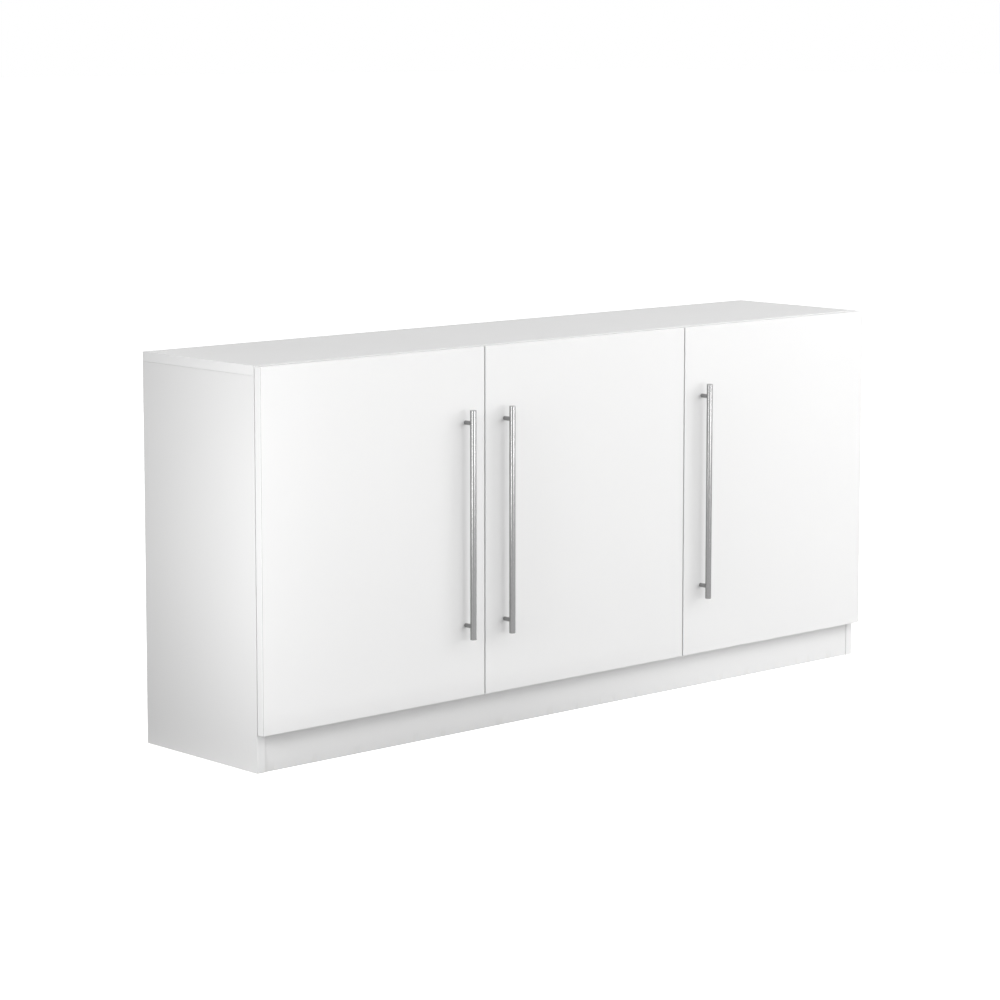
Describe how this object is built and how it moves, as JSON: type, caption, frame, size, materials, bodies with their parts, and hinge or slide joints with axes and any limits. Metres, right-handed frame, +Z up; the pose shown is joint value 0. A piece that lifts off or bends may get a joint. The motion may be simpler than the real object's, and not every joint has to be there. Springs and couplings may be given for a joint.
{
  "type": "sideboard buffet",
  "caption": "Low white sideboard with a lay-on top, board sides to the floor, a plinth, and hinged overlay doors with tall bar handles over shelved bays.",
  "frame": {"origin": "on the floor, at the middle of the whole closed object, handles included", "axes": "+Z up, the doors face -Y, +X to the right of someone facing the doors"},
  "size_m": [1.6, 0.378, 0.735],
  "materials": {
    "white_laminate": "white melamine-faced board, satin, fine dead-matt pebble",
    "lacquered_hardboard": "white lacquered hardboard face, brown mesh-textured rear",
    "brushed_steel": "brushed along the bar, satin nickel tone",
    "nickel_plate": "bright nickel plate on pressed steel"
  },
  "bodies": {
    "carcass": {"top_panel": "white_laminate", "left_side_panel": "white_laminate", "right_side_panel": "white_laminate", "bottom_panel": "white_laminate", "left_partition": "white_laminate", "right_partition": "white_laminate", "left_back_sheet": "lacquered_hardboard", "middle_back_sheet": "lacquered_hardboard", "right_back_sheet": "lacquered_hardboard", "plinth_front": "white_laminate", "plinth_rear_rail": "white_laminate", "left_plinth_brace": "white_laminate", "right_plinth_brace": "white_laminate", "left_shelf": "white_laminate", "middle_shelf": "white_laminate", "right_shelf": "white_laminate", "left_shelf_pin_left_front": "nickel_plate", "left_shelf_pin_left_rear": "nickel_plate", "left_shelf_pin_right_front": "nickel_plate", "left_shelf_pin_right_rear": "nickel_plate", "middle_shelf_pin_left_front": "nickel_plate", "middle_shelf_pin_left_rear": "nickel_plate", "middle_shelf_pin_right_front": "nickel_plate", "middle_shelf_pin_right_rear": "nickel_plate", "right_shelf_pin_left_front": "nickel_plate", "right_shelf_pin_left_rear": "nickel_plate", "right_shelf_pin_right_front": "nickel_plate", "right_shelf_pin_right_rear": "nickel_plate", "left_lower_hinge_arm": "nickel_plate", "left_upper_hinge_arm": "nickel_plate", "middle_lower_hinge_arm": "nickel_plate", "middle_upper_hinge_arm": "nickel_plate", "right_lower_hinge_arm": "nickel_plate", "right_upper_hinge_arm": "nickel_plate"},
    "left_door": {"left_door": "white_laminate", "left_handle_bar": "brushed_steel", "left_handle_post_lower": "brushed_steel", "left_handle_post_upper": "brushed_steel", "left_lower_hinge_cup": "nickel_plate", "left_lower_hinge_pin": "nickel_plate", "left_upper_hinge_cup": "nickel_plate", "left_upper_hinge_pin": "nickel_plate"},
    "middle_door": {"middle_door": "white_laminate", "middle_handle_bar": "brushed_steel", "middle_handle_post_lower": "brushed_steel", "middle_handle_post_upper": "brushed_steel", "middle_lower_hinge_cup": "nickel_plate", "middle_lower_hinge_pin": "nickel_plate", "middle_upper_hinge_cup": "nickel_plate", "middle_upper_hinge_pin": "nickel_plate"},
    "right_door": {"right_door": "white_laminate", "right_handle_bar": "brushed_steel", "right_handle_post_lower": "brushed_steel", "right_handle_post_upper": "brushed_steel", "right_lower_hinge_cup": "nickel_plate", "right_lower_hinge_pin": "nickel_plate", "right_upper_hinge_cup": "nickel_plate", "right_upper_hinge_pin": "nickel_plate"}
  },
  "joints": [
    {"name": "left_door_hinge", "type": "hinge", "parent": "carcass", "child": "left_door", "pos_m": [-0.7937, -0.15495, 0.4025], "axis": [0, 0, -1], "range_deg": [0, 100]},
    {"name": "middle_door_hinge", "type": "hinge", "parent": "carcass", "child": "middle_door", "pos_m": [0.25937, -0.15495, 0.4025], "axis": [0, 0, 1], "range_deg": [0, 100]},
    {"name": "right_door_hinge", "type": "hinge", "parent": "carcass", "child": "right_door", "pos_m": [0.7937, -0.15495, 0.4025], "axis": [0, 0, 1], "range_deg": [0, 100]}
  ]
}
